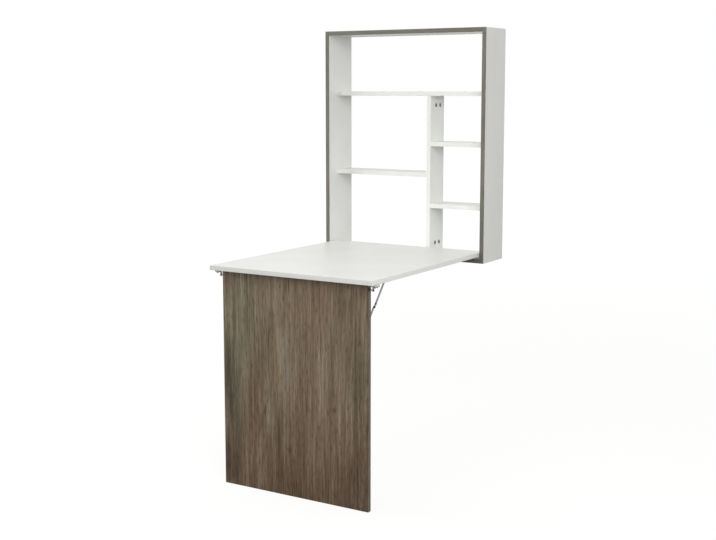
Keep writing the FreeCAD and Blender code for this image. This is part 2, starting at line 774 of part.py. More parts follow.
def magnet_catch():
    """Push-in magnet catch: a barrel in the shelf, and a nose with a lip that meets the desktop."""
    body = turned("right_magnet_catch", [
        ("-catch_in", "0"),
        ("-catch_in", "catch_dia/2"),
        ("0", "catch_dia/2"),
        ("0", "catch_lip/2"),
        ("catch_lip_thick", "catch_lip/2"),
        ("catch_lip_thick", "catch_dia/2"),
        ("shelf_clear - catch_gap", "catch_dia/2"),
        ("shelf_clear - catch_gap", "0"),
    ])
    return place(body, "catch_place", "-shelf_depth", "catch_level", turned_to(-INWARD))


def strike_disc():
    """Flush steel disc, painted as the board is, that the magnet holds."""
    return rod("right_strike_disc", "catch_place", "strike_place", "desk_face - strike_deep",
               "strike_dia/2", "strike_deep", UP)


def desk_bush():
    """Flanged bush in the side, its flange in the gap beside the desktop."""
    inner = "desk_pin_dia/2 + running"
    body = turned("right_desk_bush", [
        ("-desk_bush_lip", inner),
        ("-desk_bush_lip", "desk_bush_flange/2"),
        ("0", "desk_bush_flange/2"),
        ("0", "desk_bush_dia/2"),
        ("desk_bush_deep", "desk_bush_dia/2"),
        ("desk_bush_deep", inner),
    ])
    return place(body, "inner_half", "-pivot_depth", "pivot_level")


def desk_pin():
    """Pin in the desktop's side edge that turns in the bush."""
    body = turned("right_desk_pin", [
        ("-desk_pin_in", "0"),
        ("-desk_pin_in", "desk_pin_dia/2"),
        ("side_gap + desk_bush_deep - dowel_edge", "desk_pin_dia/2"),
        ("side_gap + desk_bush_deep", "desk_pin_dia/2 - dowel_edge"),
        ("side_gap + desk_bush_deep", "0"),
    ])
    return place(body, "desk_half", "-pivot_depth", "pivot_level")


def leg_bush():
    """Flanged bush in the leg's side edge."""
    inner = "leg_pin_dia/2 + running"
    body = turned("right_leg_bush", [
        ("-leg_pin_in", inner),
        ("-leg_pin_in", "leg_bush_dia/2"),
        ("0", "leg_bush_dia/2"),
        ("0", "leg_bush_flange/2"),
        ("leg_bush_lip", "leg_bush_flange/2"),
        ("leg_bush_lip", inner),
    ])
    return place(body, "leg_half", "leg_mid", "leg_pivot")


def leg_pin():
    """Pin riveted in the lug of the leg bracket, which the leg's bush turns on."""
    shoulder = "lug_gap + lug_metal"
    body = turned("right_leg_pin", [
        ("-leg_pin_in", "0"),
        ("-leg_pin_in", "leg_pin_dia/2"),
        (shoulder, "leg_pin_dia/2"),
        (shoulder, "leg_pin_head/2"),
        (f"{shoulder} + leg_pin_head_thick/2", "leg_pin_head/2"),
        (f"{shoulder} + leg_pin_head_thick", "leg_pin_dia/2"),
        (f"{shoulder} + leg_pin_head_thick", "0"),
    ])
    return place(body, "leg_half", "leg_mid", "leg_pivot")


def rivet(label, x, y, z, grip, way):
    """Rivet from a flush end at its place to a low domed head past its grip."""
    body = turned(label, [
        ("0", "0"),
        ("0", "rivet_dia/2"),
        (grip, "rivet_dia/2"),
        (grip, "rivet_head/2"),
        (f"{grip} + rivet_head_thick/2", "rivet_head/2"),
        (f"{grip} + rivet_head_thick", "rivet_dia/2"),
        (f"{grip} + rivet_head_thick", "0"),
    ])
    return place(body, x, y, z, turned_to(way))


def stay_link(label, x, first_end, second_end, fit_at_first, fit_at_second):
    """Flat link with round ends, drawn where it lies, with a hole about each end."""
    body, planes = new_body(label)
    sketch = sketch_on(body, planes["YZ_Plane"], f"{label}_outline")
    slot(sketch, first_end, second_end, "link_wide/2")
    circle(sketch, *first_end, f"rivet_dia/2 + {fit_at_first}")
    circle(sketch, *second_end, f"rivet_dia/2 + {fit_at_second}")
    pad(body, sketch, "link_metal")
    return place(body, x, "0", "0")


nodes.append(pair("magnet_catches", magnet_catch()))
nodes.append(pair("desk_pivot_bushes", desk_bush()))
nodes.append(pair("desk_pivot_pins", desk_pin()))
nodes.append(pair("strike_discs", strike_disc()))
nodes.append(pair("leg_bracket_packings", bracket_packing()))
nodes.append(pair("leg_pivot_pins", leg_pin()))
nodes.append(pair("leg_pivot_bushes", leg_bush()))
for kind, label in (("lug", "leg_bracket_screws"), ("desk_stay", "desk_stay_screws"),
                    ("leg_stay", "leg_stay_screws")):
    nodes.append(group(label, screws[kind]))

STAY_GRIP = "link_metal + link_gap + stay_metal"
DESK_EYE = ("desk_eye_y", "desk_eye_z")
LEG_EYE = ("leg_eye_y", "leg_eye_z")
KNUCKLE = ("knuckle_y", "knuckle_z")
desk_rivet = rivet("right_desk_stay_rivet", "upper_link_x", *DESK_EYE, STAY_GRIP, RIGHT)
leg_rivet = rivet("right_leg_stay_rivet", "lower_link_x + link_metal", *LEG_EYE, STAY_GRIP, -RIGHT)
nodes.append(pair("desk_stay_rivets", desk_rivet))
nodes.append(pair("leg_stay_rivets", leg_rivet))

handed = [
    right_leg_bracket,
    right_desk_stay_bracket,
    right_leg_stay_bracket,
    stay_link("right_upper_link", "upper_link_x", DESK_EYE, KNUCKLE, "running", "0"),
    stay_link("right_lower_link", "lower_link_x", LEG_EYE, KNUCKLE, "running", "0"),
    rivet("right_upper_knuckle", "upper_link_x", *KNUCKLE, "link_metal", RIGHT),
    rivet("right_lower_knuckle", "lower_link_x + link_metal", *KNUCKLE, "link_metal", -RIGHT),
]
for piece in handed:
    nodes.append(piece)
    nodes.append(mirrored(piece.Label.replace("right_", "left_"), piece))

# Build, check and write
doc.recompute()
for obj in doc.Objects:
    if "Invalid" in obj.State or "Error" in obj.State:
        raise RuntimeError(f"{obj.Label} did not build: {obj.State}")
for node in nodes:
    if node.Shape.isNull() or not node.Shape.isValid():
        raise RuntimeError(f"{node.Label} has no valid shape")

os.makedirs("parts", exist_ok=True)
for node in nodes:
    node.Shape.exportStep(f"parts/{node.Label}.step")
    print(f"{node.Label}: {len(node.Shape.Solids)} solids, {node.Shape.Volume:.0f} mm3")
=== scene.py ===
"""Looks of a fold down wall desk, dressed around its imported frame.

The desk stands open on its leg panel, as in the photograph. Lengths are in metres, unless a name
says mm, in the part's own frame: X to the right, Y into the wall and Z up, with the origin on
the wall behind the middle of the cabinet.
"""
import logging
import math
from abc import ABC, abstractmethod
from collections.abc import Sequence
from dataclasses import dataclass
from enum import Enum

import bmesh
import bpy
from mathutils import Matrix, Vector


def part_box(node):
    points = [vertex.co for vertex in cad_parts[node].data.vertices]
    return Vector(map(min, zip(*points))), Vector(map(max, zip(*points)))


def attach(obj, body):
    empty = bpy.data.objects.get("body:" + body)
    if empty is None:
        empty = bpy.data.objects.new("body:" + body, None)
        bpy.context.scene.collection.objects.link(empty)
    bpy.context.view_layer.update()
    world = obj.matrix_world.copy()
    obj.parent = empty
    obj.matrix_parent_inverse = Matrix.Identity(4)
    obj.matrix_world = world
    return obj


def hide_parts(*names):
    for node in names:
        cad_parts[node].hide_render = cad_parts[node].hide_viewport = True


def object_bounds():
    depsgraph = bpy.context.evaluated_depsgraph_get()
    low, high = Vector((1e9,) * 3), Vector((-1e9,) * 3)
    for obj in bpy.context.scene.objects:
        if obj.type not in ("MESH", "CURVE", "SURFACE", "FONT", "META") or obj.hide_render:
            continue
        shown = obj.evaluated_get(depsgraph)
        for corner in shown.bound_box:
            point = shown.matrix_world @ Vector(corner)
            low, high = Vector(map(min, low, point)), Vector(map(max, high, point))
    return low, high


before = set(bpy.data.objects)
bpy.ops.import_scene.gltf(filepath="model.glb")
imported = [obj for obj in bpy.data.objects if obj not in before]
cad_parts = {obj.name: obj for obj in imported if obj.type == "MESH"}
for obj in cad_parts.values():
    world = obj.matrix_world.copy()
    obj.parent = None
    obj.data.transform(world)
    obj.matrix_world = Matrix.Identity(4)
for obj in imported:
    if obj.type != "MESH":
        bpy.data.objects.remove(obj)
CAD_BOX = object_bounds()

Colour = tuple[float, float, float, float]
Given = float | Sequence[float] | bpy.types.NodeSocket

LOG = logging.getLogger("wall_desk")
MM = 0.001
PHOTO_WIDE = 716
SENSOR_MM = 36.0
# Points closer than these are one point, or lie on one plane.
WELD = 1e-6
NEAR = 2e-6
# Faces that turn by less are one flat face, and edges that turn by more stay sharp.
FLAT_DEG = 0.5
SHARP_DEG = 40.0
# Blender's noise stays near a half, and strays from it by about a quarter.
NOISE_MIDDLE = 0.5
NOISE_STRAY = 0.25


class Axis(Enum):
    """One of the frame's three directions."""

    X = 0
    Y = 1
    Z = 2


class Side(Enum):
    """A side of the desk, by the way that it lies along X."""

    LEFT = -1
    RIGHT = 1


class MixSocket(Enum):
    """Numbers of the mix node's colour sockets, whose names it uses more than once."""

    SHARE = 0
    RESULT = 2
    UNDER = 6
    OVER = 7


class GrainWay(Enum):
    """The way that printed grain runs on a piece."""

    UPRIGHT = "upright"
    LEVEL = "level"


class Shift(Enum):
    """How far each layer of a pattern is moved, so that no two layers line up."""

    TONE = 0.0
    SWAY = 3.0
    GLOSS = 5.0
    PEEL = 9.0
    BAND = 11.0
    FIRST_GRAIN = 23.0
    NEXT_GRAIN = 14.0


class Ink(Enum):
    """Inks of the printed walnut pattern; rust and umber also paint shade on the leg."""

    OLIVE = "#776f5a"
    MOSS = "#4a4432"
    TAN = "#8b7961"
    BROWN = "#7f6f5d"
    RUST = "#725d48"
    UMBER = "#463524"
    BARK = "#5d5545"
    STONE = "#6c6b61"
    SLATE = "#62625a"
    CLAY = "#6e695f"


def linear(hex_code: str) -> Colour:
    """Turn an sRGB hex colour into linear light.

    Args:
        hex_code: Six hex digits after a hash sign.

    Returns:
        Red, green and blue in linear light, and full alpha.
    """
    shares = (int(hex_code[at:at + 2], 16) / 255 for at in (1, 3, 5))
    lights = (s / 12.92 if s <= 0.04045 else ((s + 0.055) / 1.055) ** 2.4 for s in shares)
    return (*lights, 1.0)


def add_node(tree: bpy.types.NodeTree, kind: str, inputs: dict[str | int, Given] | None = None,
             stops: Sequence[tuple[float, str]] = (), **settings: object) -> bpy.types.Node:
    """Add a node with its settings and links.

    Args:
        tree: Node tree that the node goes in.
        kind: Blender's name of the node type.
        inputs: Value of each input by name or number; a socket is linked.
        stops: Places and hex colours of a ramp's stops.
        **settings: Properties of the node.

    Returns:
        The new node.
    """
    node = tree.nodes.new(kind)
    for name, setting in settings.items():
        setattr(node, name, setting)
    for name, given in (inputs or {}).items():
        if isinstance(given, bpy.types.NodeSocket):
            tree.links.new(given, node.inputs[name])
        else:
            node.inputs[name].default_value = given
    for number, (place, colour) in enumerate(stops):
        elements = node.color_ramp.elements
        stop = elements[number] if number < len(elements) else elements.new(place)
        stop.position = place
        stop.color = linear(colour)
    return node


def blotches(tree: bpy.types.NodeTree, place: bpy.types.NodeSocket, size_mm: Sequence[float],
             shift: Shift, number: int = 0, detail: float = 1.0) -> bpy.types.NodeSocket:
    """Draw uneven patches of a real size, which may differ along each axis.

    Args:
        tree: Node tree of the material.
        place: Socket with the place on the surface.
        size_mm: Size of a patch along X, Y and Z.
        shift: How far the pattern is moved.
        number: How many layers of its kind were drawn before it.
        detail: Octaves of finer patches within the patches.

    Returns:
        Socket with a share from 0 to 1, mostly near a half.
    """
    scale = [1 / (size * MM) for size in size_mm]
    moved = shift.value + number * Shift.NEXT_GRAIN.value
    where = add_node(tree, "ShaderNodeMapping",
                     {"Vector": place, "Location": [moved] * 3, "Scale": scale})
    noise = add_node(tree, "ShaderNodeTexNoise",
                     {"Vector": where.outputs[0], "Scale": 1.0, "Detail": detail})
    return noise.outputs[0]


def mix_colours(tree: bpy.types.NodeTree, share: bpy.types.NodeSocket,
                under: bpy.types.NodeSocket, over: Colour) -> bpy.types.NodeSocket:
    """Lay one colour over another.

    Args:
        tree: Node tree of the material.
        share: Socket with the upper colour's share.
        under: Socket with the lower colour.
        over: The upper colour.

    Returns:
        Socket with the mixed colour.
    """
    mixed = add_node(tree, "ShaderNodeMix", {
        MixSocket.SHARE.value: share, MixSocket.UNDER.value: under, MixSocket.OVER.value: over},
                     data_type="RGBA")
    return mixed.outputs[MixSocket.RESULT.value]


@dataclass(frozen=True)
class Finish(ABC):
    """What every finish shares: its name, its middle colour and how its surface answers light."""

    name: str
    base: str
    roughness: float
    metallic: float = 0.0
    ior: float = 1.5

    def material(self) -> bpy.types.Material:
        """Make the material.

        Returns:
            A material with a principled shader and this finish's pattern.
        """
        made = bpy.data.materials.new(self.name)
        made.use_nodes = True
        made.diffuse_color = linear(self.base)
        tree = made.node_tree
        shader = tree.nodes["Principled BSDF"]
        shader.inputs["Base Color"].default_value = linear(self.base)
        shader.inputs["Roughness"].default_value = self.roughness
        shader.inputs["Metallic"].default_value = self.metallic
        if self.metallic == 0:
            shader.inputs["IOR"].default_value = self.ior
        place = add_node(tree, "ShaderNodeTexCoord").outputs["Object"]
        self.draw(tree, shader, place)
        return made

    @abstractmethod
    def draw(self, tree: bpy.types.NodeTree, shader: bpy.types.Node,
             place: bpy.types.NodeSocket) -> None:
        """Draw what varies over the surface.

        Args:
            tree: Node tree of the material.
            shader: The principled shader.
            place: Socket with the place on the surface.
        """


@dataclass(frozen=True)
class MottledFinish(Finish):
    """A finish of one colour that is slightly uneven in tone, gloss and level."""

    darker: str = "#000000"
    tone_mm: float = 60.0
    gloss_mm: float = 10.0
    gloss_spread: float = 0.05
    peel_mm: float = 4.0
    peel_deep_mm: float = 0.02
    # Shares of the noise where the tone turns, and where the gloss is lowest and highest.
    tone_turns: tuple[float, float] = (0.3, 0.65)
    gloss_turns: tuple[float, float] = (0.3, 0.7)

    def draw(self, tree: bpy.types.NodeTree, shader: bpy.types.Node,
             place: bpy.types.NodeSocket) -> None:
        """Draw uneven tone, gloss and level.

        Args:
            tree: Node tree of the material.
            shader: The principled shader.
            place: Socket with the place on the surface.
        """
        tone = blotches(tree, place, [self.tone_mm] * 3, Shift.TONE, detail=3.0)
        ramp = add_node(tree, "ShaderNodeValToRGB", {0: tone},
                        list(zip(self.tone_turns, (self.darker, self.base))))
        gloss = blotches(tree, place, [self.gloss_mm] * 3, Shift.GLOSS, detail=2.0)
        rough = add_node(tree, "ShaderNodeMapRange", {
            "Value": gloss, "From Min": self.gloss_turns[0], "From Max": self.gloss_turns[1],
            "To Min": self.roughness - self.gloss_spread,
            "To Max": self.roughness + self.gloss_spread})
        peel = blotches(tree, place, [self.peel_mm] * 3, Shift.PEEL)
        bump = add_node(tree, "ShaderNodeBump",
                        {"Strength": 1.0, "Distance": self.peel_deep_mm * MM, "Height": peel})
        tree.links.new(ramp.outputs[0], shader.inputs["Base Color"])
        tree.links.new(rough.outputs[0], shader.inputs["Roughness"])
        tree.links.new(bump.outputs[0], shader.inputs["Normal"])


@dataclass(frozen=True)
class HeadedPin(MottledFinish):
    """Bright pin whose head, out along X past the shank, is black: part finish, part painted shade.
    """

    # The head's near black is partly a black oxide finish and partly painted shade for the shaded
    # pivot.
    head: str = "#3a3a3c"
    head_from_mm: float = 0.0

    def draw(self, tree: bpy.types.NodeTree, shader: bpy.types.Node,
             place: bpy.types.NodeSocket) -> None:
        """Draw the shank's uneven metal, and paint the head near black, partly as painted shade.

        Args:
            tree: Node tree of the material.
            shader: The principled shader.
            place: Socket with the place on the surface.
        """
        super().draw(tree, shader, place)
        shank = shader.inputs["Base Color"].links[0].from_socket
        apart = add_node(tree, "ShaderNodeSeparateXYZ", {0: place}).outputs["X"]
        reach = add_node(tree, "ShaderNodeMath", {0: apart}, operation="ABSOLUTE").outputs[0]
        outer = add_node(tree, "ShaderNodeMath", {0: reach, 1: self.head_from_mm * MM},
                         operation="GREATER_THAN").outputs[0]
        black_and_shaded_head = mix_colours(tree, outer, shank, linear(self.head))
        tree.links.new(black_and_shaded_head, shader.inputs["Base Color"])


@dataclass(frozen=True)
class Patch:
    """A soft patch of one ink, by its middle, its half sizes, its strength and its lean."""

    ink: Ink
    x_mm: float
    z_mm: float
    half_x_mm: float
    half_z_mm: float
    strength: float
    lean_deg: float = 0.0
    # Share of the half sizes within which the patch has its whole strength.
    core: float = 0.2


@dataclass(frozen=True)
class GrainLayer:
    """One layer of printed grain, by the size of its streaks and how strongly it shows."""

    across_mm: float
    along_mm: float
    weight: float = 1.0


@dataclass(frozen=True)
class WalnutLaminate(Finish):
    """Walnut pattern laminate: printed paper pressed under a matt melamine overlay.

    The print gives flat grey brown streaks along the grain, short dark pores and a few wide
    patches of olive and rust; on the leg, its widest rust and umber patches are painted shade.
    The overlay gives a dull, even sheen with pores just pressed in.
    """

    way: GrainWay = GrainWay.UPRIGHT
    cool: Ink = Ink.OLIVE
    warm: Ink = Ink.RUST
    patches: tuple[Patch, ...] = ()
    contrast: float = 0.48
    wander_mm: float = 3.5
    sway: GrainLayer = GrainLayer(70.0, 210.0)
    band: GrainLayer = GrainLayer(90.0, 900.0)
    band_turns: tuple[float, float, float] = (0.2, 0.5, 0.8)
    # Long streaks, fine lines and pores. Real pores are half a millimetre wide; they are drawn
    # wider, so that they show in the render.
    layers: tuple[GrainLayer, ...] = (
        GrainLayer(26.0, 420.0, 1.1), GrainLayer(12.0, 300.0, 1.2), GrainLayer(7.0, 190.0, 1.1),
        GrainLayer(4.6, 80.0, 1.2), GrainLayer(4.0, 30.0, 0.7))
    # Pores lie where the last layer is low: shares where they start and are full.
    pore_from: float = 0.44
    pore_full: float = 0.28
    pore_dark: float = 0.5
    pore_deep_mm: float = 0.1
    pore_bump: float = 0.4

    def grain(self, tree: bpy.types.NodeTree, place: bpy.types.NodeSocket, layer: GrainLayer,
              shift: Shift, number: int = 0) -> bpy.types.NodeSocket:
        """Draw one layer of the grain.

        Args:
            tree: Node tree of the material.
            place: Socket with the place on the surface.
            layer: The layer to draw.
            shift: How far the layer is moved.
            number: How many layers of its kind were drawn before it.

        Returns:
            Socket with a share from 0 to 1.
        """
        across, along = layer.across_mm, layer.along_mm
        sizes = [across, across, along] if self.way is GrainWay.UPRIGHT else [along, across, across]
        return blotches(tree, place, sizes, shift, number)

    def draw(self, tree: bpy.types.NodeTree, shader: bpy.types.Node,
             place: bpy.types.NodeSocket) -> None:
        """Draw the printed grain and the pressed pores.

        Args:
            tree: Node tree of the material.
            shader: The principled shader.
            place: Socket with the place on the surface.
        """
        sway = self.grain(tree, place, self.sway, Shift.SWAY)
        push = [self.wander_mm * MM / NOISE_STRAY, 0, 0]
        if self.way is GrainWay.LEVEL:
            push.reverse()
        where = add_node(tree, "ShaderNodeVectorMath", {0: sway, 1: push, 2: place},
                         operation="MULTIPLY_ADD").outputs[0]
        band = self.grain(tree, where, self.band, Shift.BAND)
        inks = (self.cool.value, self.base, self.warm.value)
        colour = add_node(tree, "ShaderNodeValToRGB", {0: band},
                          list(zip(self.band_turns, inks))).outputs[0]
        for patch in self.patches:
            colour = self.lay(tree, where, colour, patch)
        # A power of the colour darkens blue most, so that dark streaks stay warm.
        weights = sum(layer.weight for layer in self.layers)
        power = 1.0 + self.contrast * weights * NOISE_MIDDLE
        for number, layer in enumerate(self.layers):
            marks = self.grain(tree, where, layer, Shift.FIRST_GRAIN, number)
            power = add_node(tree, "ShaderNodeMath", {
                0: marks, 1: -layer.weight * self.contrast, 2: power},
                             operation="MULTIPLY_ADD").outputs[0]
        pores = add_node(tree, "ShaderNodeMapRange", {
            "Value": marks, "From Min": self.pore_from, "From Max": self.pore_full}).outputs[0]
        power = add_node(tree, "ShaderNodeMath", {
            0: pores, 1: self.pore_dark * self.contrast, 2: power},
                         operation="MULTIPLY_ADD").outputs[0]
        tinted = add_node(tree, "ShaderNodeGamma", {0: colour, 1: power}).outputs[0]
        bump = add_node(tree, "ShaderNodeBump", {
            "Strength": self.pore_bump, "Distance": self.pore_deep_mm * MM, "Height": pores},
                        invert=True).outputs[0]
        tree.links.new(tinted, shader.inputs["Base Color"])
        tree.links.new(bump, shader.inputs["Normal"])

    def lay(self, tree: bpy.types.NodeTree, where: bpy.types.NodeSocket,
            colour: bpy.types.NodeSocket, patch: Patch) -> bpy.types.NodeSocket:
        """Lay a soft patch of ink over the print.

        Args:
            tree: Node tree of the material.
            where: Socket with the place on the print.
            colour: Socket with the colour so far.
            patch: The patch to lay.

        Returns:
            Socket with the new colour.
        """
        pushed_mm = self.wander_mm / NOISE_STRAY * NOISE_MIDDLE
        middle = [(patch.x_mm + pushed_mm) * MM, 0, patch.z_mm * MM]
        half = [patch.half_x_mm * MM, 1.0, patch.half_z_mm * MM]
        lean = [0, math.radians(patch.lean_deg), 0]
        local = add_node(tree, "ShaderNodeMapping", {
            "Vector": where, "Location": middle, "Rotation": lean, "Scale": half},
                         vector_type="TEXTURE")
        level = add_node(tree, "ShaderNodeVectorMath",
                         {0: local.outputs[0], 1: (1, 0, 1)}, operation="MULTIPLY")
        reach = add_node(tree, "ShaderNodeVectorMath", {0: level.outputs[0]}, operation="LENGTH")
        share = add_node(tree, "ShaderNodeMapRange", {
            "Value": reach.outputs["Value"], "From Min": patch.core, "From Max": 1.0,
            "To Min": patch.strength, "To Max": 0.0}, interpolation_type="SMOOTHSTEP")
        return mix_colours(tree, share.outputs[0], colour, linear(patch.ink.value))


# Patches of ink over the leg's print, placed with X from its middle and Z from the wall origin.
LEG_INK_AND_SHADE_PATCHES = (
    # The first two patches, wide rust and umber over the lower part, are painted shade that darkens
    # the leg towards the floor.
    Patch(Ink.RUST, 0, -1180, 560, 480, 0.9),
    Patch(Ink.UMBER, 60, -1230, 520, 340, 0.42),
    Patch(Ink.UMBER, 290, -1090, 130, 330, 0.6),
    Patch(Ink.OLIVE, -215, -590, 140, 300, 0.75),
    Patch(Ink.TAN, -66, -680, 36, 260, 0.7),
    Patch(Ink.TAN, 10, -470, 190, 180, 0.5),
    Patch(Ink.RUST, 180, -460, 170, 110, 0.35),
    Patch(Ink.MOSS, 235, -720, 40, 250, 0.55),
    Patch(Ink.TAN, 105, -730, 60, 170, 0.5),
    Patch(Ink.MOSS, -254, -800, 54, 260, 0.82, -6.0),
    Patch(Ink.UMBER, -260, -1050, 60, 150, 0.75),
    Patch(Ink.MOSS, -98, -620, 9, 170, 0.7),
    Patch(Ink.UMBER, -97, -785, 11, 110, 0.5, 13.0),
    Patch(Ink.UMBER, -128, -890, 13, 75, 0.42, 17.0),
    Patch(Ink.TAN, -74, -760, 7, 45, 0.8, 13.0),
    Patch(Ink.TAN, -184, -820, 8, 320, 0.8),
    Patch(Ink.UMBER, -62, -930, 7, 110, 0.7),
    Patch(Ink.TAN, -46, -800, 12, 120, 0.5),
    Patch(Ink.UMBER, 161, -815, 11, 16, 0.7, core=0.0),
    Patch(Ink.UMBER, -116, -850, 9, 34, 0.55, core=0.0),
    Patch(Ink.UMBER, -17, -430, 5, 38, 0.6, core=0.0),
    Patch(Ink.UMBER, 46, -545, 6, 16, 0.55, core=0.0),
    Patch(Ink.UMBER, 284, -765, 7, 4000, 0.8),
)


class Palette:
    """Every material of the desk, each made once."""

    def __init__(self) -> None:
        """Make the materials."""
        # Melamine film pressed on chipboard: a flat cool white, satin, with a faint orange peel.
        self.face = MottledFinish("white_melamine_film", "#ebece8", 0.42, darker="#e7e8e4",
                                  tone_mm=140.0, gloss_mm=18.0, peel_mm=5.0,
                                  peel_deep_mm=0.015).material()
        # ABS edge band, extruded and buffed: a little warmer and glossier than the film.
        self.band = MottledFinish("white_abs_edge_band", "#f4f4f0", 0.36, darker="#f0f0ec",
                                  tone_mm=50.0, gloss_mm=8.0, peel_mm=3.0,
                                  peel_deep_mm=0.01).material()
        # Bored chipboard: coarse straw and brown chips, quite dull.
        self.core = MottledFinish("bored_chipboard", "#c3a478", 0.8, darker="#8a6b45", tone_mm=3.0,
                                  gloss_mm=4.0, peel_mm=1.5, peel_deep_mm=0.3).material()
        self.walnut = WalnutLaminate("walnut_laminate_upright", Ink.STONE.value, 0.5,
                                     cool=Ink.SLATE, warm=Ink.CLAY, contrast=0.22).material()
        self.walnut_level = WalnutLaminate("walnut_laminate_level", Ink.STONE.value, 0.5,
                                           way=GrainWay.LEVEL, cool=Ink.SLATE,
                                           warm=Ink.CLAY, contrast=0.22).material()
        # The leg's overlay is the dullest: its fine texture breaks up most of the gloss.
        self.walnut_leg = WalnutLaminate("walnut_laminate_leg", Ink.BROWN.value, 0.5, ior=1.36,
                                         patches=LEG_INK_AND_SHADE_PATCHES).material()
        # Edge band of the leg: the same print on thin ABS, greyer and plainer than the faces.
        self.walnut_band = WalnutLaminate("walnut_abs_edge_band", Ink.BARK.value, 0.45, ior=1.4,
                                          cool=Ink.OLIVE, warm=Ink.BROWN,
                                          contrast=0.4).material()
        # Zinc plated pressed steel: bright but dulled by its passivation, with a rolled bloom.
        self.steel = MottledFinish("zinc_plated_steel", "#9fa1a3", 0.38, 1.0, darker="#85878a",
                                   tone_mm=7.0, gloss_mm=3.0, gloss_spread=0.08, peel_mm=2.0,
                                   peel_deep_mm=0.02).material()
        # Black oxide on steel, oiled: a thin near black skin that still shines a little at edges.
        self.black = MottledFinish("black_oxide_steel", "#313133", 0.42, 1.0, darker="#252527",
                                   tone_mm=3.0, gloss_mm=2.0, gloss_spread=0.08, peel_mm=1.5,
                                   peel_deep_mm=0.02).material()
        # The leg's pins: bright zinc on the shank, and a head near black, partly a finish like the
        # other fixings and partly painted shade where the pivot lies in shade.
        self.pin = HeadedPin("zinc_plated_pin_black_and_shaded_head", "#b4b6b8", 0.36, 1.0, darker="#9a9c9f",
                             tone_mm=3.0, gloss_mm=2.0, peel_mm=1.5, head_from_mm=297.0).material()
        # Die cast zinc: a dark grey skin with the fine grit of the mould.
        self.zinc = MottledFinish("die_cast_zinc", "#7e8081", 0.5, 1.0, darker="#66686a",
                                  tone_mm=4.0, gloss_mm=2.0, gloss_spread=0.08, peel_mm=1.2,
                                  peel_deep_mm=0.05).material()
        # Moulded nylon: milky white with a fine spark eroded grain.
        self.nylon = MottledFinish("moulded_nylon", "#e6e6e1", 0.5, darker="#dcdcd6", tone_mm=6.0,
                                   gloss_mm=3.0, peel_mm=1.0, peel_deep_mm=0.03).material()
        # Beech dowel: pale pinkish brown with short darker flecks.
        self.beech = MottledFinish("fluted_beech", "#cfa878", 0.65, darker="#a97c4e", tone_mm=2.5,
                                   gloss_mm=3.0, peel_mm=1.0, peel_deep_mm=0.15).material()


def add_piece(name: str, solid: bmesh.types.BMesh, materials: Sequence[bpy.types.Material],
              body: str) -> bpy.types.Object:
    """Make a piece of a finished mesh, smooth but for its sharp edges, and put it on its body.

    Args:
        name: Name of the piece.
        solid: Its mesh, which is freed.
        materials: Its materials, in the order that its faces number them.
        body: The body that it rides on.

    Returns:
        The piece's object.
    """
    for face in solid.faces:
        face.smooth = True
    mesh = bpy.data.meshes.new(name)
    solid.to_mesh(mesh)
    solid.free()
    custom = mesh.attributes.get("custom_normal")
    if custom is not None:
        mesh.attributes.remove(custom)
    mesh.set_sharp_from_angle(angle=math.radians(SHARP_DEG))
    for material in materials:
        mesh.materials.append(material)
    piece = bpy.data.objects.new(name, mesh)
    bpy.context.scene.collection.objects.link(piece)
    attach(piece, body)
    return piece


@dataclass
class Board:
    """A board cut from faced sheet, with rounded arrises and an edge band on its edges.

    It is made of the frame's own node, so each bore stays where a fitting sits in it.
    """

    node: str
    body: str
    slot: str
    thin: Axis
    arris: float = 0.7 * MM
    arris_steps: int = 3
    arris_profile: float = 0.5
    # How much farther in than the arris its faces may lie, and how square a level face has to be.
    arris_slack: float = 1.01
    level_cos: float = 0.999

    def build(self, faces: bpy.types.Material, edges: bpy.types.Material,
              core: bpy.types.Material) -> bpy.types.Object:
        """Build the board and put it in its node's place.

        Args:
            faces: Material of the two wide faces.
            edges: Material of the narrow edges and the arrises.
            core: Material of the walls of the bores.

        Returns:
            The board's object.
        """
        low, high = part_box(self.node)
        solid = bmesh.new()
        solid.from_mesh(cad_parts[self.node].data)
        bmesh.ops.remove_doubles(solid, verts=solid.verts, dist=WELD)
        bmesh.ops.dissolve_limit(solid, angle_limit=math.radians(FLAT_DEG), verts=solid.verts,
                                 edges=solid.edges)
        arrises = [edge for edge in solid.edges
                   if len(self.sides(edge.verts[0].co, low, high)
                          & self.sides(edge.verts[1].co, low, high)) > 1]
        bmesh.ops.bevel(solid, geom=arrises, offset=self.arris, segments=self.arris_steps,
                        profile=self.arris_profile, affect="EDGES", clamp_overlap=True)
        for face in solid.faces:
            face.material_index = self.part_of(face, low, high)
        board = add_piece(f"{self.node}_board", solid, (faces, edges, core), self.body)
        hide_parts(self.node)
        evened = board.modifiers.new("even_normals", "WEIGHTED_NORMAL")
        evened.keep_sharp = True
        return board

    @staticmethod
    def sides(point: Vector, low: Vector, high: Vector) -> set[tuple[int, bool]]:
        """Name the outer planes that a point lies on.

        Args:
            point: The point.
            low: The board's lowest corner.
            high: The board's highest corner.

        Returns:
            Pairs of an axis and whether the plane is the upper one.
        """
        return {(axis, bound is high) for axis in range(3) for bound in (low, high)
                if abs(point[axis] - bound[axis]) < NEAR}

    def part_of(self, face: bmesh.types.BMFace, low: Vector, high: Vector) -> int:
        """Tell which of the board's three materials a face has.

        Args:
            face: The face.
            low: The board's lowest corner.
            high: The board's highest corner.

        Returns:
            0 on a wide face, 1 on an edge or an arris, and 2 in a bore.
        """
        middle = face.calc_center_median()
        reach = self.arris * self.arris_slack
        outer = [axis for axis in range(3)
                 if min(middle[axis] - low[axis], high[axis] - middle[axis]) < reach]
        flat = max(range(3), key=lambda axis: abs(face.normal[axis]))
        level = abs(face.normal[flat]) > self.level_cos
        depth = min(middle[flat] - low[flat], high[flat] - middle[flat])
        if level and depth < NEAR:
            return 0 if flat == self.thin.value else 1
        return 1 if len(outer) > 1 and not level else 2


